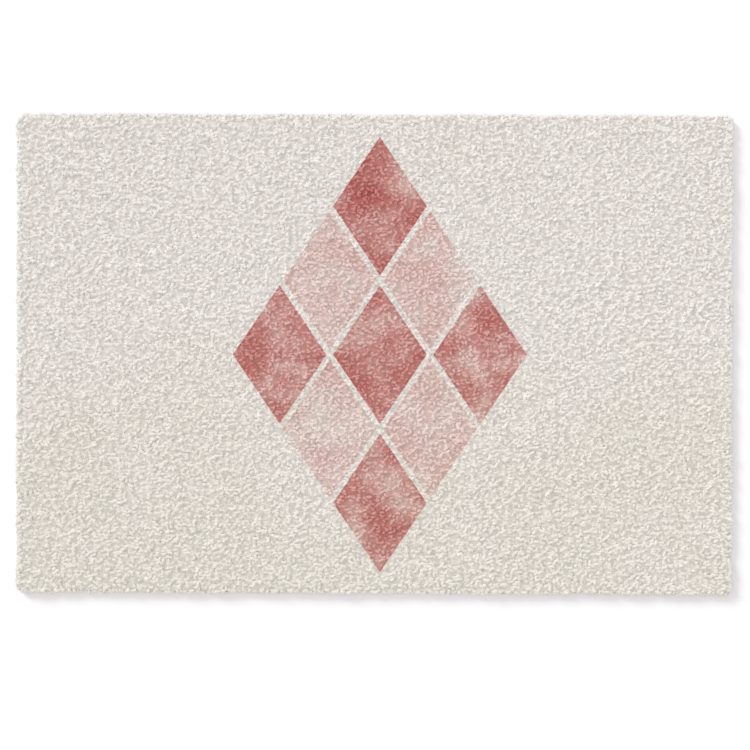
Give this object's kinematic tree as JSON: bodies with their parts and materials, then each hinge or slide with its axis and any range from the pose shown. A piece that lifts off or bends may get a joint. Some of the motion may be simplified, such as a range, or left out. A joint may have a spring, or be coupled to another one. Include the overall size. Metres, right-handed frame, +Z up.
{
  "type": "doormat",
  "caption": "Flat rectangular doormat, one piece of curly loop-pile vinyl matting with a flat underside.",
  "frame": {"origin": "on the floor, under the middle of the mat's outline", "axes": "+X along the long side to the right, +Y to the far edge, +Z up out of the pile"},
  "size_m": [0.764, 0.5132, 0.01],
  "materials": {
    "pile": "matt curly loop pile of vinyl filament, cream, with washes of rose printed on its top"
  },
  "bodies": {
    "root": {"mat": "pile"}
  },
  "joints": []
}
